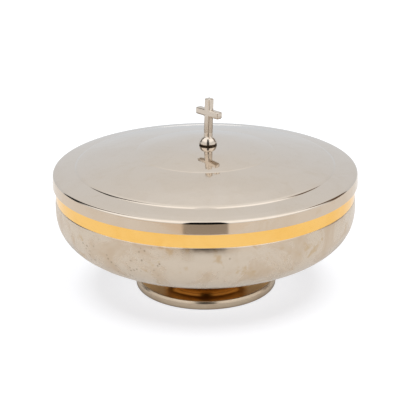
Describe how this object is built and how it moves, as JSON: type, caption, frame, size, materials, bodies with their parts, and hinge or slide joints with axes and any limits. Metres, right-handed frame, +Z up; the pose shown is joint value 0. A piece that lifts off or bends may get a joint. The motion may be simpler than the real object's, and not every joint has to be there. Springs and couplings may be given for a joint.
{
  "type": "ciborium vessel",
  "caption": "Low round ciborium: hammered bowl with a gilded inner cup, dished foot, and a stepped lift-off lid topped by a knob and a small cross.",
  "frame": {"origin": "on the turning axis, at the plane the foot stands on", "axes": "+Z up along the turning axis, -Y towards the front, +X to the right seen from the front"},
  "size_m": [0.1614, 0.1614, 0.1036],
  "materials": {
    "nickel": "warm polished nickel plate over spun brass",
    "hammered_nickel": "planished nickel plate over spun brass, slightly clouded",
    "gilt": "polished gold plate over brass",
    "steel": "plain turned steel fastener"
  },
  "bodies": {
    "vessel": {"foot_shell": "nickel", "neck_collar": "gilt", "bowl_shell": "hammered_nickel", "inner_cup": "gilt", "cup_stud": "steel", "foot_washer": "steel", "foot_nut": "steel"},
    "lid_ring": {"lid_locating_ring": "gilt"},
    "lid": {"lid_shell": "nickel", "finial_knob": "nickel", "finial_cross": "nickel", "finial_stud": "steel", "finial_washer": "steel", "finial_nut": "steel"}
  },
  "joints": [
    {"name": "lid_lift", "type": "slide", "parent": "vessel", "child": "lid_ring", "axis": [0, 0, 1], "range_m": [0, 0.12]},
    {"name": "lid_turn", "type": "hinge", "parent": "lid_ring", "child": "lid", "pos_m": [0, 0, 0.061], "axis": [0, 0, 1], "continuous": true}
  ]
}
